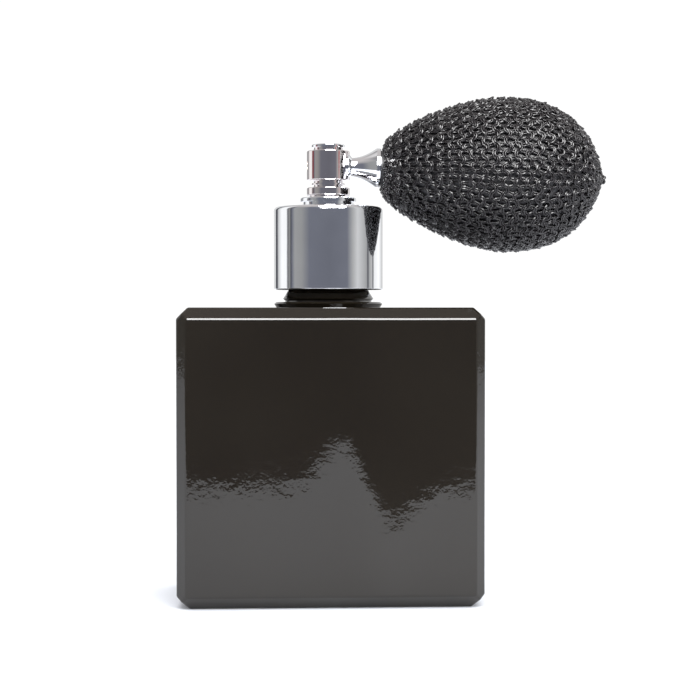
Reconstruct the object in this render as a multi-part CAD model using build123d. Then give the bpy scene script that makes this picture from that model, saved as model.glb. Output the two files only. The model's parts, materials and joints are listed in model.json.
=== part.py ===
from build123d import *
import math
import os

# A square glass perfume flask with a screw-on atomizer worked by a knitted-covered squeeze bulb.
# Millimetres and degrees. The origin is the middle of the flask's base, under the neck.
# +Z is up, +X runs along the stem to the bulb, and the spray leaves towards -X.

# Fits
running_gap = 0.05      # between faces that turn or slide on each other
press_gap = 0.01        # between pieces that are pushed together for good
stop_gap = 0.02         # left at each end of a valve ball's travel
cut_overshoot = 1.0     # how far a cut runs past the surface that it opens

# Flask
flask_width = 60.0
flask_depth = 34.0
shoulder_height = 58.5
flask_wall = 3.0
base_thickness = 6.0
shoulder_thickness = 4.0
cavity_round = 6.0
upright_bevel = 1.9
shoulder_bevel = 2.2
base_bevel = 2.5
edge_round = 0.8
push_up_depth = 0.6
push_up_margin = 4.5
push_up_round = 4.0

# Neck finish, the standard 18-415 screw neck
neck_radius = 8.0
neck_bore_radius = 5.9
neck_height = 15.4
neck_root = 1.0         # how far the neck's blank reaches down into the shoulder
lip_round = 0.4
thread_pitch = 3.175
thread_depth = 0.95
thread_root_width = 1.7
thread_crest_width = 0.8
thread_lead = 1.0125    # middle of the insert's first turn, above the insert's foot
thread_turns = 1.75
thread_sink = 0.3       # how far a ridge is rooted in the wall that carries it
thread_clearance = 0.2

# Rings under the collar, as radii beyond the neck and heights above the shoulder
boss_overhang = 2.95
boss_foot_overhang = 2.5
boss_rim_height = 0.75
boss_height = 1.1
undercut_overhang = 0.7
undercut_height = 1.35
bead_overhang = 1.15
bead_height = 1.75
flare_height = 3.6

# Stack on the lip
gasket_thickness = 1.2
gasket_inset = 0.1
plug_flange = 1.2
plug_length = 7.0
plug_clearance = 0.1
plug_lead = 0.5
vent_radius = 0.35

# Collar
collar_wall = 0.5
collar_foot = 3.6       # height of its lower edge above the shoulder
collar_round = 0.8
collar_lip_round = 0.2
insert_wall = 1.3
insert_plate = 1.9
insert_recess = 0.4
insert_turns = 2.25
spigot_clearance = 0.35

# Head
spigot_radius = 2.95
spigot_tail = 1.2
washer_overhang = 0.75  # beyond the barrel
washer_body = 1.0
washer_rim = 0.55
washer_flange = 0.85
washer_round = 0.35
step_overhang = 0.8
step_height = 0.4
ring_height = 1.6
waist_height = 1.4
waist_ridge_overhang = 0.4
waist_ridge_start = 0.55
waist_ridge_height = 0.3
barrel_overhang = 1.4
barrel_height = 6.0
barrel_round = 0.22
upper_waist_height = 0.7
cap_overhang = 0.425
cap_height = 0.6
cap_round = 0.25
cap_plug_radius = 1.9
cap_plug_length = 1.4

# Seal and clip on the spigot
ring_section = 0.39
ring_centre_above_plug_end = 3.5
clip_thickness = 0.6
clip_depth = 0.5
clip_overhang = 1.25
clip_mouth = 3.0

# Liquid path
tube_radius = 1.2
tube_bore_radius = 0.75
tube_socket = 6.0
tube_floor_gap = 1.5
tube_cut_angle = 35.0
jet_radius = 0.5
jet_bore_radius = 0.22
jet_bend = 0.95
jet_to_nozzle = 0.35
nozzle_radius = 1.2
nozzle_length = 1.6
nozzle_inset = 0.2
nozzle_cone_radius = 0.8
nozzle_cone_length = 0.9
orifice_radius = 0.2
orifice_land = 0.35
spray_cone_radius = 0.6

# Stem, measured along its axis
stem_droop = 2.5
shank_radius = 1.6
shank_depth = 1.95      # how far the shank and its saddle reach into the barrel
saddle_inset = 0.15     # between the saddle's rim and the barrel's ends
saddle_shoulder_depth = 0.45
saddle_stand = 0.3      # how far the saddle's tip stands off the barrel
saddle_tip_radius = 1.95
air_bore_radius = 0.8
trumpet_neck_radius = 1.88
trumpet_length = 4.9
trumpet_lip_width = 0.9
trumpet_lip_stand = 0.07
trumpet_lip_round = 0.12
flare_swell = 0.07      # the flare's curve handles: out from the neck, and back from the lip
flare_neck_share = 0.4
flare_lip_inset = 0.93
flare_lip_share = 0.255
cup_depth = 1.25
cup_wall = 0.68         # between the cup and the flare's wide end
seal_thickness = 0.4
seal_width = 1.6
hose_radius = 2.6
hose_tail_length = 6.05
seat_step = 0.7         # the connector's head beyond its hose tail
barb_height = 0.25
barb_length = 1.3
barb_places = (0.75, 3.55)      # beyond the trumpet's face

# Ball valves, one in the connector and one in the bulb's tail
ball_radius = 1.0
ball_travel = 0.7
ball_clearance = 0.3
port_radius = 0.7
cage_ledge = 0.2
cage_thickness = 1.0
cage_hole_radius = 0.28
cage_hole_circle = 0.75
cage_holes = 4

# Bulb and its cover, measured along the stem's axis
bulb_radius = 16.0
bulb_nose_length = 26.1
bulb_back_length = 20.1
bulb_lap = 0.25         # how far the outline starts before the trumpet's face
mouth_handle = (5.0, 4.0)       # handles of the outline's curves, as radius and length
nose_handle = 9.0
back_handle = 7.8
tail_handle_inset = 3.0
tail_handle_drop = 2.9
cover_thickness = 1.5
mouth_clearance = 0.24
mouth_rim = 1.0
hem_radius = 0.45
hem_start = 0.45
rubber_wall = 1.6
rubber_neck_wall = 1.0
clamp_setback = 1.75    # from the trumpet's face
clamp_width = 1.2
clamp_thickness = 0.35
intake_length = 5.1
intake_from_tail = 7.4
intake_radius = 2.4
intake_flange_radius = 3.0
intake_flange = 1.0
boss_wall = 2.0
knot_radius = 1.1
knot_from_tail = 0.5

# Levels that follow from the sizes above
collar_radius = (
    neck_radius + thread_depth + thread_clearance + insert_wall + running_gap + collar_wall
)
lip = shoulder_height + neck_height
flange_bottom = lip + gasket_thickness
plug_end = flange_bottom - plug_length
plate_bottom = flange_bottom + plug_flange + running_gap
shell_ceiling = plate_bottom + insert_plate
collar_top = shell_ceiling + collar_wall
collar_bottom = shoulder_height + collar_foot
washer_bottom = collar_top + running_gap
head_bottom = washer_bottom + washer_body + washer_flange
ring_bottom = head_bottom + step_height
waist_bottom = ring_bottom + ring_height
barrel_bottom = waist_bottom + waist_height
barrel_top = barrel_bottom + barrel_height
head_top = barrel_top + upper_waist_height
chamber_height = (barrel_bottom + barrel_top) / 2
clip_bottom = plug_end - running_gap - clip_thickness
spigot_bottom = clip_bottom - running_gap - spigot_tail
insert_foot = collar_bottom + insert_recess
insert_thread = insert_foot + thread_lead
neck_thread = insert_thread + thread_pitch / 2
socket_top = spigot_bottom + tube_socket
ring_centre = plug_end + ring_centre_above_plug_end
ring_groove_radius = spigot_radius + running_gap - press_gap - 2 * ring_section - press_gap
clip_groove_radius = spigot_radius - clip_depth
clip_radius = spigot_radius + clip_overhang
step_radius = spigot_radius + step_overhang
waist_ridge_radius = spigot_radius + waist_ridge_overhang
cap_radius = spigot_radius + cap_overhang
barrel_radius = spigot_radius + barrel_overhang
washer_radius = barrel_radius + washer_overhang
washer_flange_radius = washer_radius + washer_rim

# Places along the stem that follow, from the head's axis
shank_start = barrel_radius - shank_depth
saddle_shoulder = barrel_radius - saddle_shoulder_depth
stem_face = barrel_radius + saddle_stand
trumpet_end = stem_face + trumpet_length
trumpet_face = trumpet_end + trumpet_lip_width
connector_end = trumpet_face + hose_tail_length
clamp_start = trumpet_face + clamp_setback
bulb_mouth = trumpet_face - bulb_lap
bulb_widest = bulb_mouth + bulb_nose_length
bulb_tail = bulb_widest + bulb_back_length
cup_floor = trumpet_face - cup_depth
connector_start = cup_floor + seal_thickness
hem_centre = trumpet_face + hem_start + hem_radius + press_gap
rubber_shoulder = clamp_start + clamp_width + running_gap
intake_start = bulb_tail - intake_from_tail

# Radii about the stem that follow
saddle_radius = barrel_height / 2 - saddle_inset
cup_radius = hose_radius + seat_step
trumpet_end_radius = cup_radius + cup_wall
trumpet_lip_radius = trumpet_end_radius + trumpet_lip_stand
chamber_radius = ball_radius + ball_clearance
cage_radius = chamber_radius + cage_ledge
clamp_radius = hose_radius + rubber_neck_wall + press_gap
cover_mouth_radius = clamp_radius + clamp_thickness + mouth_clearance
bulb_mouth_radius = cover_mouth_radius + mouth_rim

# The stem's own frame: local Z runs out along the stem and down by the droop, local Y is the model's
stem = Plane(
    origin=(0, 0, chamber_height),
    x_dir=(math.sin(math.radians(stem_droop)), 0, math.cos(math.radians(stem_droop))),
    z_dir=(math.cos(math.radians(stem_droop)), 0, -math.sin(math.radians(stem_droop))),
)


def half_plane(*edges):
    """A face in the XZ plane from edges drawn as (radius, height)."""
    return Plane.XZ * make_face(list(edges))


def turned(*points):
    """A solid turned about local Z from a closed outline of (radius, height) points."""
    return revolve(half_plane(Polyline(*points, close=True)), axis=Axis.Z)


def ring(inner, outer, bottom, top):
    """A plain ring, or a disc where the inner radius is 0."""
    return turned((inner, bottom), (outer, bottom), (outer, top), (inner, top))


def rim(solid, height, radius):
    """The circular edge of a turned solid nearest to a height and a radius."""
    circles = solid.edges().filter_by(GeomType.CIRCLE)
    return min(circles, key=lambda e: abs(e.center().Z - height) + abs(e.radius - radius))


def thread_ridge(wall_radius, crest_radius, start, turns):
    """A right-hand helical ridge of trapezoid section, rooted in the wall that carries it."""
    path = Helix(pitch=thread_pitch, height=turns * thread_pitch, radius=wall_radius)
    section = Plane(origin=path @ 0, x_dir=(1, 0, 0), z_dir=path % 0)
    reach = crest_radius - wall_radius
    root = -math.copysign(thread_sink, reach)
    trapezoid = Polygon(
        (root, -thread_root_width / 2),
        (reach, -thread_crest_width / 2),
        (reach, thread_crest_width / 2),
        (root, thread_root_width / 2),
        align=None,
    )
    return Pos(0, 0, start) * sweep(section * trapezoid, path=path, is_frenet=True)


def bevelled_rectangle(width, height, lower_bevel, upper_bevel):
    """A rectangle standing on y = 0 with its corners cut at 45 degrees."""
    x = width / 2
    return Polygon(
        (-x + lower_bevel, 0),
        (x - lower_bevel, 0),
        (x, lower_bevel),
        (x, height - upper_bevel),
        (x - upper_bevel, height),
        (-x + upper_bevel, height),
        (-x, height - upper_bevel),
        (-x, lower_bevel),
        align=None,
    )


def flask_block():
    """The solid outside of the flask: every edge bevelled, every bevel's edge softened."""
    plan = bevelled_rectangle(flask_width, flask_depth, upright_bevel, upright_bevel)
    front = bevelled_rectangle(flask_width, shoulder_height, base_bevel, shoulder_bevel)
    side = bevelled_rectangle(flask_depth, shoulder_height, base_bevel, shoulder_bevel)
    block = extrude(Pos(0, -flask_depth / 2) * plan, shoulder_height)
    block &= extrude(Plane.XZ * front, flask_depth / 2, both=True)
    block &= extrude(Plane.YZ * side, flask_width / 2, both=True)
    return fillet(block.edges(), edge_round)


def flask_cavity():
    """The room for the perfume, rounded on every edge."""
    height = shoulder_height - shoulder_thickness - base_thickness
    room = Box(flask_width - 2 * flask_wall, flask_depth - 2 * flask_wall, height)
    return Pos(0, 0, base_thickness + height / 2) * fillet(room.edges(), cavity_round)


def push_up():
    """The shallow recess under the base that leaves the flask standing on a rim."""
    recess = Rectangle(flask_width - 2 * push_up_margin, flask_depth - 2 * push_up_margin)
    return extrude(fillet(recess.vertices(), push_up_round), push_up_depth)


def neck_blank():
    """The solid neck with the rings that show under the collar."""
    foot = shoulder_height
    blank = turned(
        (0, foot - neck_root),
        (neck_radius + boss_foot_overhang, foot - neck_root),
        (neck_radius + boss_foot_overhang, foot),
        (neck_radius + boss_overhang, foot + boss_rim_height),
        (neck_radius + boss_foot_overhang, foot + boss_height),
        (neck_radius + undercut_overhang, foot + boss_height),
        (neck_radius + undercut_overhang, foot + undercut_height),
        (neck_radius + bead_overhang, foot + bead_height),
        (neck_radius, foot + flare_height),
        (neck_radius, lip),
        (0, lip),
    )
    return fillet(rim(blank, lip, neck_radius), lip_round)


def glass_bottle():
    bottle = flask_block() + neck_blank()
    bottle += thread_ridge(neck_radius, neck_radius + thread_depth, neck_thread, thread_turns)
    bottle -= flask_cavity()
    bottle -= ring(0, neck_bore_radius, shoulder_height - shoulder_thickness - cavity_round, lip)
    return bottle - push_up()


def neck_gasket():
    inner = neck_bore_radius - plug_clearance + running_gap
    return ring(inner, neck_radius - gasket_inset, lip, flange_bottom)


def neck_plug():
    """The plug that hangs in the neck by its flange and carries the head's spigot."""
    outer = neck_bore_radius - plug_clearance
    bore = spigot_radius + running_gap
    top = flange_bottom + plug_flange
    plug = turned(
        (bore, plug_end),
        (outer - plug_lead, plug_end),
        (outer, plug_end + plug_lead),
        (outer, flange_bottom),
        (neck_radius - gasket_inset, flange_bottom),
        (neck_radius - gasket_inset, top),
        (bore, top),
    )
    vent = Pos(0, (bore + outer) / 2, 0) * ring(0, vent_radius, plug_end, top)
    return plug - vent


def collar_shell():
    hole = spigot_radius + spigot_clearance
    shell = turned(
        (hole, shell_ceiling),
        (collar_radius - collar_wall, shell_ceiling),
        (collar_radius - collar_wall, collar_bottom),
        (collar_radius, collar_bottom),
        (collar_radius, collar_top),
        (hole, collar_top),
    )
    shell = fillet(rim(shell, collar_top, collar_radius), collar_round)
    return fillet(rim(shell, collar_bottom, collar_radius), collar_lip_round)


def threaded_insert():
    """The plastic thread inside the collar, half a pitch away from the ridge on the neck."""
    outer = collar_radius - collar_wall - running_gap
    wall = neck_radius + thread_depth + thread_clearance
    hole = spigot_radius + spigot_clearance
    body = turned(
        (wall, insert_foot),
        (outer, insert_foot),
        (outer, shell_ceiling),
        (hole, shell_ceiling),
        (hole, plate_bottom),
        (wall, plate_bottom),
    )
    return body + thread_ridge(wall, neck_radius + thread_clearance, insert_thread, insert_turns)


def swivel_washer():
    bore = spigot_radius + press_gap
    middle = washer_bottom + washer_body
    washer = turned(
        (bore, washer_bottom),
        (washer_radius, washer_bottom),
        (washer_radius, middle),
        (washer_flange_radius, middle),
        (washer_flange_radius, head_bottom),
        (bore, head_bottom),
    )
    return fillet(rim(washer, head_bottom, washer_flange_radius), washer_round)


def head_blank():
    """The turned head and its spigot, before it is drilled."""
    ridge = waist_bottom + waist_ridge_start
    blank = turned(
        (0, spigot_bottom),
        (spigot_radius, spigot_bottom),
        (spigot_radius, head_bottom),
        (step_radius, head_bottom),
        (step_radius, ring_bottom),
        (barrel_radius, ring_bottom),
        (barrel_radius, waist_bottom),
        (spigot_radius, waist_bottom),
        (spigot_radius, ridge),
        (waist_ridge_radius, ridge),
        (waist_ridge_radius, ridge + waist_ridge_height),
        (spigot_radius, ridge + waist_ridge_height),
        (spigot_radius, barrel_bottom),
        (barrel_radius, barrel_bottom),
        (barrel_radius, barrel_top),
        (spigot_radius, barrel_top),
        (spigot_radius, head_top),
        (0, head_top),
    )
    for level in (ring_bottom, waist_bottom, barrel_bottom, barrel_top):
        blank = fillet(rim(blank, level, barrel_radius), barrel_round)
    return blank


def head_body():
    """The head with its grooves, the liquid and air passages and the bores for what is fitted in it."""
    body = head_blank()
    body -= ring(
        ring_groove_radius,
        spigot_radius + cut_overshoot,
        ring_centre - ring_section - press_gap,
        ring_centre + ring_section + press_gap,
    )
    body -= ring(
        clip_groove_radius,
        spigot_radius + cut_overshoot,
        clip_bottom - running_gap,
        clip_bottom + clip_thickness + running_gap,
    )
    body -= ring(0, tube_radius + press_gap, spigot_bottom, socket_top)
    body -= ring(0, jet_radius + press_gap, socket_top, chamber_height)
    body -= ring(0, cap_plug_radius + press_gap, head_top - cap_plug_length, head_top)
    chamber = Plane(origin=(0, 0, chamber_height), z_dir=(-1, 0, 0))
    body -= chamber * ring(0, nozzle_radius + press_gap, -nozzle_radius, barrel_radius)
    body -= stem * ring(0, shank_radius + press_gap, 0, barrel_radius + cut_overshoot)
    return body


def head_cap():
    cap = ring(0, cap_radius, head_top, head_top + cap_height)
    cap = fillet(rim(cap, head_top + cap_height, cap_radius), cap_round)
    return cap + ring(0, cap_plug_radius, head_top - cap_plug_length, head_top)


def head_o_ring():
    major = ring_groove_radius + press_gap + ring_section
    return Pos(0, 0, ring_centre) * Torus(major, ring_section)


def retaining_clip():
    """The snap ring under the plug that keeps the head from pulling out, open on one side."""
    clip = ring(clip_groove_radius + press_gap, clip_radius, clip_bottom, clip_bottom + clip_thickness)
    reach = clip_radius + cut_overshoot
    mouth = Box(reach, clip_mouth, clip_thickness, align=(Align.MAX, Align.CENTER, Align.MIN))
    return clip - Pos(0, 0, clip_bottom) * mouth


def dip_tube():
    """A straight tube with its foot cut on a slant, so that the flask's floor can't shut it."""
    foot = base_thickness + tube_floor_gap
    tube = ring(tube_bore_radius, tube_radius, foot, socket_top)
    slant = Plane(origin=(-tube_radius, 0, foot)).rotated((0, -tube_cut_angle, 0))
    return split(tube, bisect_by=slant, keep=Keep.TOP)


def liquid_jet():
    """The capillary from the dip tube's socket up to the chamber and round to the nozzle."""
    tip = -(barrel_radius - nozzle_inset - nozzle_length - jet_to_nozzle)
    path = FilletPolyline(
        (0, 0, socket_top), (0, 0, chamber_height), (tip, 0, chamber_height), radius=jet_bend
    )
    section = Circle(jet_radius) - Circle(jet_bore_radius)
    return sweep(Pos(0, 0, socket_top) * section, path=path)


def nozzle_insert():
    """The spray disc: a cone leads the air and perfume to the orifice, another lets the mist out."""
    face = barrel_radius - nozzle_inset
    back = face - nozzle_length
    throat = back + nozzle_cone_length
    disc = turned(
        (nozzle_cone_radius, back),
        (nozzle_radius, back),
        (nozzle_radius, face),
        (spray_cone_radius, face),
        (orifice_radius, throat + orifice_land),
        (orifice_radius, throat),
    )
    return Plane(origin=(0, 0, chamber_height), z_dir=(-1, 0, 0)) * disc


def stem_washer():
    """The saddle that seats the stem on the round barrel."""
    bore = shank_radius + press_gap
    saddle = turned(
        (bore, shank_start),
        (saddle_radius, shank_start),
        (saddle_radius, saddle_shoulder),
        (saddle_tip_radius, stem_face),
        (bore, stem_face),
    )
    barrel = ring(0, barrel_radius, waist_bottom, head_top)
    return stem * saddle - barrel


def bulb_trumpet():
    """The flared stem, with a shank for the head and a cup for the bulb's connector."""
    flare = Bezier(
        (trumpet_neck_radius, stem_face),
        (trumpet_neck_radius + flare_swell, stem_face + flare_neck_share * trumpet_length),
        (trumpet_end_radius - flare_lip_inset, trumpet_end - flare_lip_share * trumpet_length),
        (trumpet_end_radius, trumpet_end),
    )
    rest = Polyline(
        (trumpet_end_radius, trumpet_end),
        (trumpet_lip_radius, trumpet_end + trumpet_lip_round),
        (trumpet_lip_radius, trumpet_face - trumpet_lip_round),
        (trumpet_lip_radius - trumpet_lip_round, trumpet_face),
        (cup_radius, trumpet_face),
        (cup_radius, cup_floor),
        (air_bore_radius, cup_floor),
        (air_bore_radius, shank_start),
        (shank_radius, shank_start),
        (shank_radius, stem_face),
        (trumpet_neck_radius, stem_face),
    )
    return stem * revolve(half_plane(flare, rest), axis=Axis.Z)


def valve_levels(start):
    """Where a ball valve that starts at a level has its cage's face, its shut ball and its seat."""
    cage_face = start + running_gap + cage_thickness
    shut_centre = cage_face + stop_gap + ball_radius + ball_travel
    seat = shut_centre + math.sqrt(ball_radius**2 - port_radius**2) + stop_gap
    return cage_face, shut_centre, seat


def valve_passage(start, end):
    """The bore through a valve: the cage's seat, the ball's chamber and the port that the ball shuts."""
    cage_face, _, seat = valve_levels(start)
    return turned(
        (0, start),
        (cage_radius + press_gap, start),
        (cage_radius + press_gap, cage_face),
        (chamber_radius, cage_face),
        (chamber_radius, seat),
        (port_radius, seat),
        (port_radius, end),
        (0, end),
    )


def valve_ball(start):
    _, shut_centre, _ = valve_levels(start)
    return stem * Pos(0, 0, shut_centre) * Sphere(ball_radius)


def valve_cage(start):
    """The pierced disc that stops the ball and lets the air past."""
    cage_face, _, _ = valve_levels(start)
    bottom = cage_face - cage_thickness
    hole = ring(0, cage_hole_radius, bottom, cage_face)
    holes = PolarLocations(cage_hole_circle, cage_holes)
    return stem * (ring(0, cage_radius, bottom, cage_face) - [place * hole for place in holes])


def connector_seal():
    outer = cup_radius - press_gap
    return stem * ring(outer - seal_width, outer, cup_floor, connector_start)


def bulb_connector():
    """The barbed hose tail seated in the trumpet, with the outlet valve inside."""
    root = hose_radius - barb_height
    barbs = [
        point
        for place in (trumpet_face + distance for distance in barb_places)
        for point in ((root, place), (hose_radius, place), (root, place + barb_length))
    ]
    body = turned(
        (0, connector_start),
        (cup_radius - press_gap, connector_start),
        (cup_radius - press_gap, trumpet_face),
        (root, trumpet_face),
        *barbs,
        (root, connector_end),
        (0, connector_end),
    )
    return stem * (body - valve_passage(connector_start, connector_end))


def bulb_profile(inset):
    """The bulb's half outline as a face, its curves' points moved in from the cover's outside."""
    mouth_lead = Vector(*mouth_handle).normalized()
    tail_lead = Vector(bulb_radius - tail_handle_inset, -tail_handle_drop).normalized()
    mouth_in = Vector(-mouth_lead.Y, mouth_lead.X) * inset
    tail_in = Vector(tail_lead.Y, -tail_lead.X) * inset
    mouth = Vector(bulb_mouth_radius, bulb_mouth) + mouth_in
    widest = Vector(bulb_radius - inset, bulb_widest)
    tail = Vector(0, bulb_tail - inset / tail_lead.X)
    nose = Bezier(mouth, mouth + Vector(*mouth_handle), widest - Vector(0, nose_handle), widest)
    back = Bezier(
        widest,
        widest + Vector(0, back_handle),
        Vector(bulb_radius - tail_handle_inset, bulb_tail - tail_handle_drop) + tail_in,
        tail,
    )
    return make_face([nose, back, Polyline(tail, (0, mouth.Y), mouth)])


def strip(outer, start, end):
    """A rectangle from the axis out to a radius, between two places along the stem."""
    return Pos(outer / 2, (start + end) / 2) * Rectangle(outer, end - start)


def spun(profile):
    """A solid of revolution about the stem from a profile of (radius, place along the stem)."""
    return stem * revolve(Plane.XZ * profile, axis=Axis.Z)


def rubber_bulb():
    """The hollow squeeze bulb: a neck for the hose tail and a thick tail for the intake valve."""
    start = trumpet_face + running_gap
    skin = cover_thickness + running_gap
    room_start = rubber_shoulder + rubber_wall
    boss_face = intake_start + intake_flange
    neck = strip(hose_radius + rubber_neck_wall, start, room_start)
    outside = bulb_profile(skin) - strip(bulb_radius, 0, rubber_shoulder) + neck
    boss = strip(intake_radius + boss_wall, boss_face, bulb_tail)
    room = bulb_profile(skin + rubber_wall) - strip(bulb_radius, 0, room_start) - boss
    hose_bore = strip(hose_radius, start, room_start)
    valve_hole = strip(intake_radius + press_gap, boss_face, bulb_tail)
    return spun(outside - room - hose_bore - valve_hole)


def neck_clamp():
    outer = clamp_radius + clamp_thickness
    return stem * ring(clamp_radius, outer, clamp_start, clamp_start + clamp_width)


def knit_cover():
    """The knitted cover as a plain shell, with a groove behind its mouth for the hem cord."""
    front = strip(bulb_radius, 0, trumpet_face)
    mouth = strip(cover_mouth_radius, trumpet_face, clamp_start + clamp_width)
    groove = strip(
        cover_mouth_radius + 2 * hem_radius + press_gap,
        hem_centre - hem_radius - press_gap,
        hem_centre + hem_radius + press_gap,
    )
    return spun(bulb_profile(0) - bulb_profile(cover_thickness) - front - mouth - groove)


def hem_cord():
    return stem * Pos(0, 0, hem_centre) * Torus(cover_mouth_radius + hem_radius, hem_radius)


def tail_knot():
    """The knot that gathers the cover at its tail, resting on the cover."""
    knot = stem * Pos(0, 0, bulb_tail - knot_from_tail) * Sphere(knot_radius)
    return knot - spun(bulb_profile(0))


def intake_valve_body():
    """The valve pushed through the bulb's tail, which lets air in as the bulb fills again."""
    shoulder = intake_start + intake_flange
    end = intake_start + intake_length
    body = turned(
        (0, intake_start),
        (intake_flange_radius, intake_start),
        (intake_flange_radius, shoulder),
        (intake_radius, shoulder),
        (intake_radius, end),
        (0, end),
    )
    return stem * (body - valve_passage(intake_start, end))


nodes = {
    "glass_bottle": glass_bottle,
    "neck_gasket": neck_gasket,
    "neck_plug": neck_plug,
    "collar_shell": collar_shell,
    "threaded_insert": threaded_insert,
    "swivel_washer": swivel_washer,
    "head_body": head_body,
    "head_cap": head_cap,
    "head_o_ring": head_o_ring,
    "retaining_clip": retaining_clip,
    "dip_tube": dip_tube,
    "liquid_jet": liquid_jet,
    "nozzle_insert": nozzle_insert,
    "stem_washer": stem_washer,
    "bulb_trumpet": bulb_trumpet,
    "connector_seal": connector_seal,
    "bulb_connector": bulb_connector,
    "outlet_ball": lambda: valve_ball(connector_start),
    "outlet_ball_cage": lambda: valve_cage(connector_start),
    "rubber_bulb": rubber_bulb,
    "neck_clamp": neck_clamp,
    "knit_cover": knit_cover,
    "hem_cord": hem_cord,
    "tail_knot": tail_knot,
    "intake_valve_body": intake_valve_body,
    "intake_ball": lambda: valve_ball(intake_start),
    "intake_ball_cage": lambda: valve_cage(intake_start),
}

os.makedirs("parts", exist_ok=True)
for name, build in nodes.items():
    export_step(build(), f"parts/{name}.step")
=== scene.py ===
import json
import math

import bpy
import numpy as np
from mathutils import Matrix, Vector


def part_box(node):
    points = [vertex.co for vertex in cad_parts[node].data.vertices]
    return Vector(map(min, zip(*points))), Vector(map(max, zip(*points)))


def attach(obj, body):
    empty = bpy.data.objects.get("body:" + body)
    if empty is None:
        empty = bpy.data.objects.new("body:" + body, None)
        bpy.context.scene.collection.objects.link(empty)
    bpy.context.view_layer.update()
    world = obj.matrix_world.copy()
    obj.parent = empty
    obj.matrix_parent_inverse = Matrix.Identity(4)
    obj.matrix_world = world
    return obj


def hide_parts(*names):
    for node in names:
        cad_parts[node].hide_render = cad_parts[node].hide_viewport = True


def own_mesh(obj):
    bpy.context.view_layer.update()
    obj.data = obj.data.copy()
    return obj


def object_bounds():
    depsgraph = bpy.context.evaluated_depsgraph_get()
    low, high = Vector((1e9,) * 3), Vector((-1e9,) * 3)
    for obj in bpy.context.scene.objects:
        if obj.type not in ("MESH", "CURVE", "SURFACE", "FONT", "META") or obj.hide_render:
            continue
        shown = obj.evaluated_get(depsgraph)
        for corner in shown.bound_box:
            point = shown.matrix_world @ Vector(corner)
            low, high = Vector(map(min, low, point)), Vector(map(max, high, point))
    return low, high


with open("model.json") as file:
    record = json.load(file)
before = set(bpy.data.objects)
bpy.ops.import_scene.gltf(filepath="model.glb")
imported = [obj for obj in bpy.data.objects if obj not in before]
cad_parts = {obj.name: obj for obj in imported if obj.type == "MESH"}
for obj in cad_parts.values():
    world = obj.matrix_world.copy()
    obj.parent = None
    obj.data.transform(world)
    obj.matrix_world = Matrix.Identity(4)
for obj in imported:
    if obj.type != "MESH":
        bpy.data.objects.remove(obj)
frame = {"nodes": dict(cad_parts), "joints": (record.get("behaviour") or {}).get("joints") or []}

# A square black glass perfume flask with a chrome atomizer head and a squeeze bulb in a knitted cover.
# Metres, in the CAD model's frame: +Z up, +X along the stem to the bulb, the camera on the -Y side.

mm = 0.001
cad_low, cad_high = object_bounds()
nodes = frame["nodes"]
draw = np.random.default_rng(18)

# The stem's axis runs through the outlet valve's ball, against the way that the ball lifts
lift = next(joint for joint in frame["joints"] if joint["name"] == "outlet_ball_lift")
stem_axis = -Vector(lift["axis"]).normalized()
ball_low, ball_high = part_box("outlet_ball")
ball_centre = (ball_low + ball_high) / 2
stem_origin = ball_centre - stem_axis * (ball_centre.x / stem_axis.x)
stem_side = Vector((0, 1, 0))
stem_up = stem_axis.cross(stem_side)


def place_along_stem(node):
    """Where the middle of a CAD node lies along the stem's axis."""
    low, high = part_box(node)
    return ((low + high) / 2 - stem_origin).dot(stem_axis)


# ---------------------------------------------------------------- materials


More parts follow.
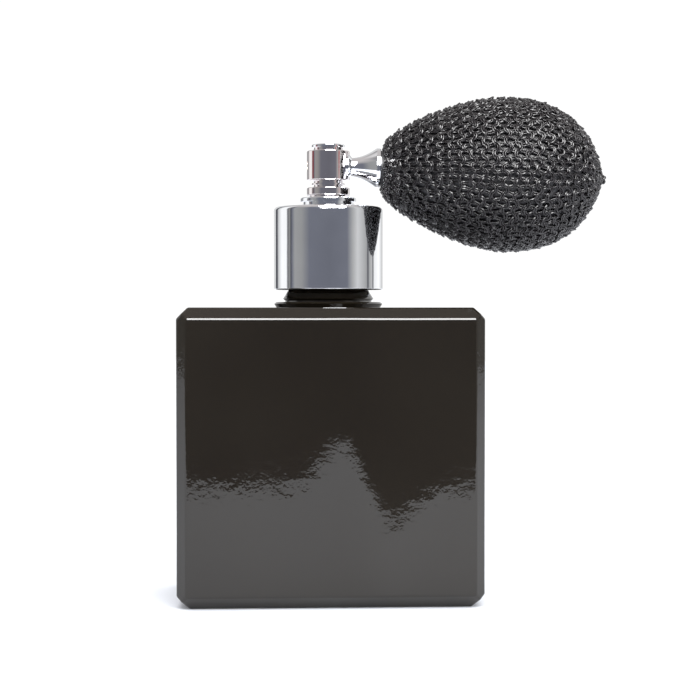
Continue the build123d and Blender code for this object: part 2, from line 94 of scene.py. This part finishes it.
class Finish:
    """A material under construction: its Principled shader, and short calls that add nodes to it."""

    def __init__(self, name, color, roughness, metallic=0.0, **uniform):
        self.material = bpy.data.materials.new(name)
        self.material.use_nodes = True
        self.tree = self.material.node_tree
        self.shader = self.tree.nodes["Principled BSDF"]
        self.shader.inputs["Base Color"].default_value = (*color, 1)
        self.shader.inputs["Roughness"].default_value = roughness
        self.shader.inputs["Metallic"].default_value = metallic
        for socket, value in uniform.items():
            self.shader.inputs[socket.replace("_", " ")].default_value = value
        self.height = None

    def add(self, kind, settings=None, **inputs):
        node = self.tree.nodes.new(kind)
        for key, value in (settings or {}).items():
            setattr(node, key, value)
        for key, value in inputs.items():
            self.feed(node.inputs[key.replace("_", " ")], value)
        return node

    def feed(self, socket, value):
        if isinstance(value, bpy.types.NodeSocket):
            self.tree.links.new(value, socket)
        else:
            socket.default_value = value

    def math(self, operation, first, second=0.0):
        node = self.add("ShaderNodeMath", {"operation": operation})
        self.feed(node.inputs[0], first)
        self.feed(node.inputs[1], second)
        return node.outputs[0]

    def where(self):
        """The surface point in metres, which stays with the piece when it moves."""
        return self.add("ShaderNodeTexCoord").outputs["Object"]

    def stretched(self, x=1.0, y=1.0, z=1.0):
        return self.add("ShaderNodeMapping", Vector=self.where(), Scale=(x, y, z)).outputs[0]

    def noise(self, size, detail=2.0, vector=None, rough=0.5):
        """Noise from 0 to 1 whose spots are about the given size in metres."""
        texture = self.add(
            "ShaderNodeTexNoise",
            Vector=vector or self.where(), Scale=1 / size, Detail=detail, Roughness=rough,
        )
        return texture.outputs["Fac"]

    def spread(self, value, low, high, start=0.3, end=0.7):
        """A value from start to end, spread to run from low to high."""
        node = self.add("ShaderNodeMapRange", Value=value)
        for key, limit in (("From Min", start), ("From Max", end), ("To Min", low), ("To Max", high)):
            node.inputs[key].default_value = limit
        return node.outputs["Result"]

    def tones(self, value, *stops):
        """Colours along a value, each stop a place and a colour, as the surface's colour."""
        ramp = self.add("ShaderNodeValToRGB", Fac=value)
        elements = ramp.color_ramp.elements
        while len(elements) < len(stops):
            elements.new(0.5)
        for element, (place, color) in zip(elements, stops):
            element.position = place
            element.color = (*color, 1)
        self.tree.links.new(ramp.outputs["Color"], self.shader.inputs["Base Color"])

    def rough(self, value, low, high):
        self.tree.links.new(self.spread(value, low, high), self.shader.inputs["Roughness"])

    def raise_by(self, value, metres):
        """Adds a height that is a value times a size in metres."""
        step = self.math("MULTIPLY", value, metres)
        self.height = step if self.height is None else self.math("ADD", self.height, step)

    def done(self):
        if self.height is not None:
            bump = self.add("ShaderNodeBump", Strength=1.0, Distance=1.0, Height=self.height)
            self.tree.links.new(bump.outputs["Normal"], self.shader.inputs["Normal"])
        return self.material


def scratches(finish, along, depth):
    """Fine lines drawn out along one direction."""
    finish.raise_by(finish.noise(0.4 * mm, 3, finish.stretched(*along)), depth)


def chrome(name, color=(0.86, 0.875, 0.9)):
    """Bright plating: clear reflections, a faint swell in the metal and handling smears."""
    finish = Finish(name, color, 0.05, metallic=1.0)
    smear = finish.noise(5 * mm, 4)
    finish.rough(smear, 0.035, 0.085)
    finish.tones(smear, (0.3, tuple(c * 0.96 for c in color)), (0.7, color))
    finish.raise_by(finish.noise(4 * mm, 1), 0.012 * mm)
    scratches(finish, (1, 1, 0.12), 0.0004 * mm)
    return finish.done()


def turned_metal(name, light, dark, roughness):
    """Lathe-turned metal with its fine tool rings and a little tarnish."""
    finish = Finish(name, light, roughness, metallic=1.0)
    tarnish = finish.noise(1.5 * mm, 5)
    finish.tones(tarnish, (0.35, dark), (0.65, light))
    finish.rough(tarnish, roughness * 1.3, roughness * 0.8)
    rings = finish.add("ShaderNodeTexWave", {"wave_type": "BANDS", "bands_direction": "Z"})
    finish.feed(rings.inputs["Vector"], finish.where())
    rings.inputs["Scale"].default_value = 1 / (0.5 * mm)
    rings.inputs["Distortion"].default_value = 1.0
    finish.raise_by(rings.outputs["Fac"], 0.002 * mm)
    return finish.done()


def moulded(name, color, shade, roughness, grain=0.004 * mm, **uniform):
    """Moulded plastic or rubber: flow shading in the colour and a fine mould texture."""
    finish = Finish(name, color, roughness, **uniform)
    flow = finish.noise(6 * mm, 4)
    finish.tones(flow, (0.3, shade), (0.7, color))
    finish.rough(finish.noise(1.2 * mm, 4), roughness * 0.85, roughness * 1.15)
    finish.raise_by(finish.noise(0.25 * mm, 3), grain)
    return finish.done()


def black_glass():
    """Black lacquered glass: its height swells and dips across the front, with a fine orange peel."""
    front_swell, front_dip, swell_level = 0.030, -0.027, 29 * mm
    finish = Finish("black_glass", (0.014, 0.010, 0.007), 0.03, IOR=1.52)
    depth = finish.noise(40 * mm, 2)
    finish.tones(depth, (0.3, (0.010, 0.0075, 0.0045)), (0.7, (0.015, 0.012, 0.008)))
    finish.rough(finish.noise(18 * mm, 5), 0.035, 0.065)
    point = finish.add("ShaderNodeSeparateXYZ", Vector=finish.where())
    across, level = point.outputs["X"], point.outputs["Z"]

    def hump(centre, width, slope):
        """A slope that rises and falls again across the pane."""
        from_centre = finish.math("DIVIDE", finish.math("SUBTRACT", across, centre), width)
        square = finish.math("MULTIPLY", from_centre, from_centre)
        return finish.math("MULTIPLY", finish.math("EXPONENT", finish.math("MULTIPLY", square, -1.0)), slope)

    tilt = finish.math("ADD", hump(3 * mm, 6 * mm, front_swell), hump(11 * mm, 6.5 * mm, front_dip))
    finish.raise_by(finish.math("MULTIPLY", tilt, finish.math("SUBTRACT", level, swell_level)), 1.0)
    finish.raise_by(finish.noise(22 * mm, 1), 0.12 * mm)
    finish.raise_by(finish.noise(2.6 * mm, 3, rough=0.6), 0.027 * mm)
    return finish.done()


def cord_finish(name, color, sheen):
    """Smooth spun cord: a glossy dark filament with its plies wound along it and a little lint."""
    finish = Finish(name, color, 0.28, IOR=1.52, Sheen_Weight=sheen, Sheen_Roughness=0.4)
    strand = finish.add("ShaderNodeUVMap").outputs["UV"]
    along = finish.add("ShaderNodeSeparateXYZ", Vector=strand)
    turn = finish.math("ADD", along.outputs["X"], finish.math("MULTIPLY", along.outputs["Y"], 3.0))
    ply = finish.math("SINE", finish.math("MULTIPLY", turn, math.tau))
    finish.raise_by(ply, 0.02 * mm)
    lint = finish.noise(3 * mm, 5)
    finish.tones(lint, (0.3, tuple(c * 0.6 for c in color)), (0.72, tuple(c * 1.5 for c in color)))
    finish.rough(finish.noise(1.1 * mm, 3), 0.2, 0.36)
    return finish.done()


finishes = {
    "glass_bottle": black_glass(),
    "collar_shell": chrome("collar_chrome"),
    "swivel_washer": chrome("washer_chrome", (0.84, 0.86, 0.89)),
    "head_body": chrome("head_chrome", (0.79, 0.745, 0.745)),
    "head_cap": chrome("cap_chrome"),
    "stem_washer": chrome("saddle_chrome", (0.7, 0.71, 0.73)),
    "bulb_trumpet": chrome("trumpet_chrome"),
    "threaded_insert": moulded("insert_plastic", (0.78, 0.78, 0.75), (0.70, 0.70, 0.66), 0.42),
    "neck_plug": moulded("plug_plastic", (0.72, 0.74, 0.72), (0.63, 0.66, 0.64), 0.38),
    "neck_gasket": moulded("gasket_foam", (0.62, 0.61, 0.57), (0.50, 0.49, 0.45), 0.85, 0.03 * mm),
    "dip_tube": moulded(
        "tube_plastic", (0.80, 0.82, 0.80), (0.70, 0.73, 0.71), 0.25, Transmission_Weight=0.55
    ),
    "head_o_ring": moulded("o_ring_rubber", (0.02, 0.02, 0.02), (0.012, 0.012, 0.012), 0.5),
    "connector_seal": moulded("seal_rubber", (0.05, 0.045, 0.04), (0.03, 0.03, 0.028), 0.6),
    "retaining_clip": turned_metal("clip_steel", (0.55, 0.54, 0.52), (0.35, 0.33, 0.31), 0.28),
    "liquid_jet": turned_metal("jet_steel", (0.62, 0.62, 0.61), (0.46, 0.45, 0.44), 0.2),
    "nozzle_insert": turned_metal("nozzle_brass", (0.72, 0.53, 0.24), (0.5, 0.34, 0.14), 0.22),
    "bulb_connector": turned_metal("connector_brass", (0.72, 0.53, 0.24), (0.5, 0.34, 0.14), 0.25),
    "outlet_ball_cage": turned_metal("outlet_cage_brass", (0.7, 0.5, 0.23), (0.48, 0.32, 0.13), 0.28),
    "outlet_ball": turned_metal("outlet_ball_steel", (0.68, 0.68, 0.68), (0.58, 0.58, 0.57), 0.1),
    "neck_clamp": turned_metal("clamp_aluminium", (0.4, 0.4, 0.41), (0.28, 0.28, 0.29), 0.45),
    "intake_valve_body": turned_metal("intake_brass", (0.36, 0.27, 0.13), (0.24, 0.17, 0.08), 0.4),
    "intake_ball_cage": turned_metal("intake_cage_brass", (0.7, 0.5, 0.23), (0.48, 0.32, 0.13), 0.28),
    "intake_ball": turned_metal("intake_ball_steel", (0.68, 0.68, 0.68), (0.58, 0.58, 0.57), 0.1),
}
for name, finish in finishes.items():
    for material_slot in nodes[name].material_slots:
        material_slot.material = finish

bulb_rubber = moulded("bulb_rubber", (0.035, 0.035, 0.04), (0.022, 0.021, 0.024), 0.4, 0.01 * mm)
cover_cord = cord_finish("cover_cord", (0.007, 0.0052, 0.0066), 0.05)
hem_cord_finish = cord_finish("hem_cord_finish", (0.008, 0.0068, 0.0075), 0.06)


# ---------------------------------------------------------------- cords as meshes


def new_piece(name, mesh, finish, slot, *replaced):
    """A piece on the head that stands for CAD nodes."""
    piece = bpy.data.objects.new(name, mesh)
    bpy.context.scene.collection.objects.link(piece)
    mesh.materials.clear()
    mesh.materials.append(finish)
    mesh.polygons.foreach_set("use_smooth", [True] * len(mesh.polygons))
    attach(piece, "head")
    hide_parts(*replaced)
    return piece


class Strands:
    """Closed round cords, gathered into one mesh with a UV map of length and turn."""

    sides = 5

    def __init__(self):
        self.points = []
        self.quads = []
        self.uvs = []
        self.count = 0

    def add(self, path, outward, radius):
        """A closed cord along a path, with the direction that faces out at each of its points."""
        length = len(path)
        tangent = np.roll(path, -1, 0) - np.roll(path, 1, 0)
        tangent /= np.linalg.norm(tangent, axis=1)[:, None]
        side = np.cross(tangent, outward)
        side /= np.linalg.norm(side, axis=1)[:, None]
        lift_off = np.cross(side, tangent)
        turn = np.arange(self.sides) * math.tau / self.sides
        ring = (
            np.cos(turn)[None, :, None] * side[:, None, :]
            + np.sin(turn)[None, :, None] * lift_off[:, None, :]
        )
        self.points.append((path[:, None, :] + radius * ring).reshape(-1, 3))
        here = np.arange(length)[:, None] * self.sides
        ahead = (np.arange(length)[:, None] + 1) % length * self.sides
        first = np.arange(self.sides)[None, :]
        second = (first + 1) % self.sides
        corners = [here + first, here + second, ahead + second, ahead + first]
        self.quads.append(self.count + np.stack(corners, -1).reshape(-1, 4))
        step = np.linalg.norm(np.roll(path, -1, 0) - path, axis=1)
        start = (np.cumsum(step) - step) / (8 * radius)
        end = start + step / (8 * radius)
        low = np.broadcast_to(first / self.sides, (length, self.sides))
        high = low + 1 / self.sides
        start, end = np.broadcast_to(start[:, None], low.shape), np.broadcast_to(end[:, None], low.shape)
        uv = [np.stack(pair, -1) for pair in ((start, low), (start, high), (end, high), (end, low))]
        self.uvs.append(np.stack(uv, -2).reshape(-1, 2))
        self.count += length * self.sides

    def mesh(self, name):
        points, quads = np.concatenate(self.points), np.concatenate(self.quads)
        mesh = bpy.data.meshes.new(name)
        mesh.from_pydata(points.tolist(), [], quads.tolist())
        layer = mesh.uv_layers.new(name="UVMap")
        layer.data.foreach_set("uv", np.concatenate(self.uvs).astype(np.float32).ravel())
        return mesh


# ---------------------------------------------------------------- the knitted cover

cord_radius = 0.225 * mm
course_step = 2.25 * mm         # from one round of stitches to the next
widest_stitch = 3.15 * mm
stitch_counts = (6, 10, 16, 24, 34)
stitch_points = 14
loop_reach = 0.74               # half a loop's height, as a share of the course step
loop_swell = 0.175              # how far a loop's head is wider than its neck, in stitches
loop_lift = 0.24 * mm           # how far the heads stand out and the legs lie in
head_lift = 0.05 * mm
cover_middle = 0.72 * mm        # the knit's middle layer, in from the cover's outside
unevenness = 0.055
pair_spacing = 1.02             # from a loop's middle line to each of its two strands, in strand radii
pair_lean, pair_wander = 0.25, 0.45     # how the pair is tilted, in radians, and how much that varies
full_cord_pitch = 2.7 * mm      # stitches narrower than this have a thinner cord
thinnest_share = 0.72


def outside_outline(node):
    """The outer outline of a turned CAD node, as (place along the stem, radius) from mouth to tail."""
    points = np.array([vertex.co for vertex in nodes[node].data.vertices]) - np.array(stem_origin)
    place = points @ np.array(stem_axis)
    radius = np.linalg.norm(points - place[:, None] * np.array(stem_axis), axis=1)
    hull = []
    for point in sorted(zip(place.round(6), radius.round(6))):
        while len(hull) > 1:
            (x0, y0), (x1, y1) = hull[-2], hull[-1]
            if (x1 - x0) * (point[1] - y0) < (y1 - y0) * (point[0] - x0):
                break
            hull.pop()
        hull.append(point)
    return np.array(hull)


class Meridian:
    """The cover's outline by distance along it, from inside its mouth to its tail."""

    def __init__(self, node, mouth_inset):
        outline = outside_outline(node)
        if len(outline) > 1 and abs(outline[1][0] - outline[0][0]) < 0.01 * mm:
            outline = outline[1:]
        lip = (outline[0][0] + 0.05 * mm, outline[0][1] - mouth_inset)
        outline = np.vstack([lip, outline])
        run = np.linalg.norm(np.diff(outline, axis=0), axis=1)
        self.distance = np.concatenate([[0], np.cumsum(run)])
        self.outline = outline
        self.length = self.distance[-1]

    def at(self, distance):
        """Place and radius at distances along the outline."""
        place = np.interp(distance, self.distance, self.outline[:, 0])
        radius = np.interp(distance, self.distance, self.outline[:, 1])
        return place, radius

    def outward(self, distance, reach=0.9 * mm):
        """The outward direction there, as (along the stem, away from it), smoothed over a reach."""
        place_before, radius_before = self.at(distance - reach)
        place_after, radius_after = self.at(distance + reach)
        along, away = place_after - place_before, radius_after - radius_before
        size = np.hypot(along, away)
        return -away / size, along / size

    def surface(self, distance, angle, height):
        """Points and outward directions on the cover, at angles about the stem."""
        place, radius = self.at(distance)
        out_place, out_radius = self.outward(distance)
        around = (
            np.cos(angle)[:, None] * np.array(stem_up)
            + np.sin(angle)[:, None] * np.array(stem_side)
        )
        axis = np.array(stem_axis)
        outward = out_place[:, None] * axis + out_radius[:, None] * around
        points = np.array(stem_origin) + place[:, None] * axis + radius[:, None] * around
        return points + height[:, None] * outward, outward


def stitches_at(radius):
    """How many stitches a round has: the fewest that keep each stitch from growing too wide."""
    fitting = [count for count in stitch_counts if math.tau * radius / count <= widest_stitch]
    return fitting[0] if fitting else stitch_counts[-1]


def uneven(count, share):
    """A smooth random value round a course of stitches, with one draw for each stitch."""
    values = draw.normal(0, share, count)
    place = np.arange(count * stitch_points) / stitch_points
    stitch = place.astype(int)
    blend = place - stitch
    blend = blend * blend * (3 - 2 * blend)
    return values[stitch] * (1 - blend) + values[(stitch + 1) % count] * blend


def course(meridian, middle, count):
    """One round of stitches: a wave whose loops swell, their heads and feet out and their legs in."""
    turn = np.arange(count * stitch_points) * math.tau / stitch_points
    stitch = math.tau / count
    reach = loop_reach * course_step * (1 + uneven(count, unevenness))
    swell = loop_swell * np.sin(2 * turn) + uneven(count, 0.6 * unevenness)
    angle = stitch * (turn / math.tau + swell)
    distance = middle + reach * np.cos(turn) + uneven(count, unevenness) * course_step
    height = loop_lift * np.cos(2 * turn) + head_lift * np.cos(turn)
    height += uneven(count, 0.9 * unevenness) * mm - cover_middle
    return distance, angle, height


def knitted_cover():
    """Rounds of looped double cord from the mouth to the tail."""
    meridian = Meridian("knit_cover", 0.9 * mm)
    strands = Strands()
    rounds = round((meridian.length - course_step) / course_step)
    for number in range(rounds):
        middle = (number + 0.6) * course_step
        radius = float(meridian.at(middle)[1])
        count = stitches_at(radius)
        pitch = math.tau * radius / count
        thickness = cord_radius * min(1.0, max(thinnest_share, pitch / full_cord_pitch))
        distance, angle, height = course(meridian, middle, count)
        distance = np.clip(distance, 0.1 * mm, meridian.length - 0.5 * mm)
        path, outward = meridian.surface(distance, angle, height)
        tangent = np.roll(path, -1, 0) - np.roll(path, 1, 0)
        side = np.cross(tangent, outward)
        side /= np.linalg.norm(side, axis=1)[:, None]
        lean = pair_lean + uneven(count, pair_wander)
        across = np.cos(lean)[:, None] * side + np.sin(lean)[:, None] * outward
        for direction in (-1, 1):
            strands.add(path + direction * pair_spacing * thickness * across, outward, thickness)
    return new_piece(
        "knitted_cover", strands.mesh("knitted_cover"), cover_cord, "knit_fabric", "knit_cover"
    )


def hem():
    """The drawn cord in the cover's mouth: two plies twisted round each other."""
    low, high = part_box("hem_cord")
    place = place_along_stem("hem_cord")
    outer = (high.y - low.y) / 2
    ply_radius, twists = 0.22 * mm, 26
    major = outer - 2 * ply_radius
    turn = np.linspace(0, math.tau, 420, endpoint=False)
    around = np.cos(turn)[:, None] * np.array(stem_up) + np.sin(turn)[:, None] * np.array(stem_side)
    axis = np.array(stem_axis)
    strands = Strands()
    for start in (0, math.pi):
        lay = twists * turn + start
        radius = major + ply_radius * np.cos(lay)
        along = place + ply_radius * np.sin(lay)
        path = np.array(stem_origin) + along[:, None] * axis + radius[:, None] * around
        strands.add(path, around, ply_radius)
    return new_piece("drawn_hem", strands.mesh("drawn_hem"), hem_cord_finish, "hem_fabric", "hem_cord")


def knot():
    """The cord's end tied off at the tail, as an overhand knot pulled up into a small ball."""
    low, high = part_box("tail_knot")
    centre = np.array((low + high) / 2) - np.array(stem_axis) * 0.6 * mm
    turn = np.linspace(0, math.tau, 90, endpoint=False)
    size, cord = 0.27 * mm, 0.3 * mm
    up = size * (np.sin(turn) + 2 * np.sin(2 * turn))
    across = size * (np.cos(turn) - 2 * np.cos(2 * turn))
    along = -1.3 * size * np.sin(3 * turn)
    path = (
        centre
        + up[:, None] * np.array(stem_up)
        + across[:, None] * np.array(stem_side)
        + along[:, None] * np.array(stem_axis)
    )
    outward = path - (centre - np.array(stem_axis) * 2 * mm)
    strands = Strands()
    strands.add(path, outward, cord)
    return new_piece("tied_tail", strands.mesh("tied_tail"), hem_cord_finish, "knot_fabric", "tail_knot")


def squeeze_bulb():
    """The rubber bulb inside the cover, as its own mesh."""
    mesh = nodes["rubber_bulb"].data.copy()
    return new_piece("squeeze_bulb", mesh, bulb_rubber, "bulb_rubber", "rubber_bulb")


for piece in (knitted_cover(), hem(), knot(), squeeze_bulb()):
    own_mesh(piece)


# ---------------------------------------------------------------- studio

floor_front = -0.26             # where the table ends, in front of the flask
floor_back = 1.6
floor_side = 1.4
floor_light, floor_shade = (0.88, 0.91, 0.97), (0.87, 0.90, 0.95)
horizon_white = 1.05            # the wall as the camera sees it
overhead_color = (0.62, 0.58, 0.57)
overhead_start, overhead_full = 0.5, 0.9    # sines of the elevations where the ceiling takes over
cold_below = 0.3                # the room is bluish where it is darker than this
# Two red curtains in the room, which the head's barrel mirrors; all in degrees
curtain_bearings = (-92, 58)
curtain_half_width = 3
curtain_foot, curtain_head = 4.3, 9
curtain_color = (0.42, 0.03, 0.03)
# The key lights everything; its gloss hangs just in front of it and is seen in reflections only
key_place, key_size, key_radiance = (0.12, -0.62, 0.62), (0.7, 0.72), 5.0
gloss_place, gloss_size, gloss_radiance = (0.117, -0.6, 0.6), (0.68, 0.7), 15.0
sky_strength, sky_angle = 2.1, 120
camera_place, camera_aim, camera_lens = (-0.0135, -0.35, 0.058), (0.0044, 0, 0.0499), 89
sensor_width = 36
# Bearings in degrees from the camera's side, positive to the right, and how bright the room is there
room_stops = (
    (-180, 0.75), (-152, 0.8), (-146, 0.06), (-139, 0.08), (-134, 0.6), (-118, 1.15), (-101, 1.1),
    (-97, 0.08), (-94, 0.3), (-91, 0.3), (-88, 0.07), (-84, 0.2), (-77, 0.38), (-60, 0.34),
    (-42, 0.19), (0, 0.17), (38, 0.19), (50, 0.45), (62, 0.7), (86, 0.42), (90, 0.08), (94, 0.42),
    (103, 0.6), (107, 0.08), (111, 1.0), (132, 1.2), (150, 0.7), (180, 0.75),
)


def floor():
    """The pale table top."""
    mesh = bpy.data.meshes.new("table_top")
    corners = [
        (-floor_side, floor_front, 0), (floor_side, floor_front, 0),
        (floor_side, floor_back, 0), (-floor_side, floor_back, 0),
    ]
    mesh.from_pydata(corners, [], [(0, 1, 2, 3)])
    top = bpy.data.objects.new("table_top", mesh)
    bpy.context.scene.collection.objects.link(top)
    finish = Finish("table_white", floor_light, 0.6, Specular_IOR_Level=0.0)
    finish.tones(finish.noise(0.2), (0.3, floor_shade), (0.7, floor_light))
    mesh.materials.append(finish.done())


def softbox(name, place, aim, size, radiance):
    """A rectangular soft light of a given brightness, hidden from the camera."""
    data = bpy.data.lights.new(name, "AREA")
    data.shape = "RECTANGLE"
    data.size, data.size_y = size
    data.energy = radiance * math.pi * size[0] * size[1]
    light = bpy.data.objects.new(name, data)
    light.location = place
    light.rotation_euler = (Vector(aim) - Vector(place)).to_track_quat("-Z", "Y").to_euler()
    light.visible_camera = False
    bpy.context.scene.collection.objects.link(light)
    return light


def sky_fill():
    """An even light from above that reaches the whole table top."""
    data = bpy.data.lights.new("sky_fill", "SUN")
    data.energy, data.angle = sky_strength, math.radians(sky_angle)
    light = bpy.data.objects.new("sky_fill", data)
    light.visible_glossy = False
    bpy.context.scene.collection.objects.link(light)


def surroundings():
    """A room that is dark behind the camera, with dark gaps and red curtains for the chrome to mirror."""
    world = bpy.data.worlds.new("studio")
    bpy.context.scene.world = world
    world.use_nodes = True
    tree = world.node_tree
    tree.nodes.clear()

    def add(kind, **inputs):
        node = tree.nodes.new(kind)
        for key, value in inputs.items():
            socket = node.inputs[int(key[1:])] if key[0] == "_" else node.inputs[key]
            if isinstance(value, bpy.types.NodeSocket):
                tree.links.new(value, socket)
            else:
                socket.default_value = value
        return node

    def calculate(operation, first, second=0.0):
        node = add("ShaderNodeMath", _0=first, _1=second)
        node.operation = operation
        return node.outputs[0]

    direction = add("ShaderNodeSeparateXYZ", Vector=add("ShaderNodeTexCoord").outputs["Generated"])
    x, y, z = direction.outputs
    bearing = calculate("ARCTAN2", x, calculate("MULTIPLY", y, -1.0))
    share = calculate("ADD", calculate("DIVIDE", bearing, math.tau), 0.5)
    ramp = add("ShaderNodeValToRGB", Fac=share)
    elements = ramp.color_ramp.elements
    while len(elements) < len(room_stops):
        elements.new(0.5)
    for element, (degrees, bright) in zip(elements, room_stops):
        element.position = degrees / 360 + 0.5
        cold = 1.0 if bright < cold_below else 0.0
        element.color = (bright * (1 - 0.04 * cold), bright, bright * (1 + 0.2 * cold), 1)
    overhead = add("ShaderNodeMapRange", Value=z)
    overhead.inputs["From Min"].default_value = overhead_start
    overhead.inputs["From Max"].default_value = overhead_full
    room = add("ShaderNodeMixRGB", Fac=overhead.outputs["Result"], Color1=ramp.outputs["Color"])
    room.inputs["Color2"].default_value = (*overhead_color, 1)
    for bearing_degrees in curtain_bearings:
        off = calculate("SUBTRACT", bearing, math.radians(bearing_degrees))
        beside = calculate("LESS_THAN", calculate("ABSOLUTE", off), math.radians(curtain_half_width))
        above = calculate("GREATER_THAN", z, math.sin(math.radians(curtain_foot)))
        below = calculate("LESS_THAN", z, math.sin(math.radians(curtain_head)))
        here = calculate("MULTIPLY", beside, calculate("MULTIPLY", above, below))
        room = add("ShaderNodeMixRGB", Fac=here, Color1=room.outputs["Color"])
        room.inputs["Color2"].default_value = (*curtain_color, 1)
    seen = add("ShaderNodeLightPath").outputs["Is Camera Ray"]
    shown = add("ShaderNodeMixRGB", Fac=seen, Color1=room.outputs["Color"])
    shown.inputs["Color2"].default_value = (horizon_white, horizon_white, horizon_white, 1)
    background = add("ShaderNodeBackground", Color=shown.outputs["Color"])
    output = add("ShaderNodeOutputWorld")
    tree.links.new(background.outputs[0], output.inputs["Surface"])


def camera():
    """At the flask's shoulder height and a little to the left, looking slightly down at the whole."""
    data = bpy.data.cameras.new("camera")
    data.lens = camera_lens
    data.sensor_width = sensor_width
    view = bpy.data.objects.new("camera", data)
    view.location = camera_place
    view.rotation_euler = (Vector(camera_aim) - view.location).to_track_quat("-Z", "Y").to_euler()
    bpy.context.scene.collection.objects.link(view)
    bpy.context.scene.camera = view


middle = (cad_low + cad_high) / 2
floor()
surroundings()
softbox("key", key_place, middle, key_size, key_radiance)
softbox("key_gloss", gloss_place, middle, gloss_size, gloss_radiance).visible_diffuse = False
sky_fill()
camera()
bpy.context.scene.view_settings.view_transform = "Standard"
